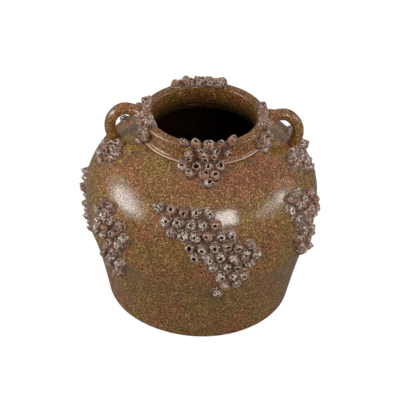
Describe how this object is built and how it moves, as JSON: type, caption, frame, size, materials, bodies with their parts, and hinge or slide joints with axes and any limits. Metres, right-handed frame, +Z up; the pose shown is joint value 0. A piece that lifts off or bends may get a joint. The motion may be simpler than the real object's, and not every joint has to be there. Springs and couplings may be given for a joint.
{
  "type": "pottery jar",
  "caption": "Squat open-mouthed stoneware storage jar with a low collar, loop handles on the shoulder and bunches of barnacle-like pricked clay cups.",
  "frame": {"origin": "centre of the flat base, on the surface that the jar stands on", "axes": "+Z up along the jar's axis; the front, with the largest bunch of cups, faces -Y; the handles lie at +X and -X"},
  "size_m": [0.2738, 0.2754, 0.2396],
  "materials": {
    "glaze": "glossy speckled brown",
    "cup_glaze": "semi-gloss, pale on edges and rust brown in hollows"
  },
  "bodies": {
    "root": {"body": "glaze", "collar": "glaze", "handle_right": "glaze", "handle_left": "glaze", "cups_front": "cup_glaze", "cups_front_right": "cup_glaze", "cups_right": "cup_glaze", "cups_back_right": "cup_glaze", "cups_back_left": "cup_glaze", "cups_left": "cup_glaze", "cups_front_left": "cup_glaze", "cups_rim_front": "cup_glaze", "cups_rim_right": "cup_glaze", "cups_rim_back": "cup_glaze", "cups_rim_left": "cup_glaze", "cups_handle_right": "cup_glaze", "cups_handle_left": "cup_glaze"}
  },
  "joints": []
}
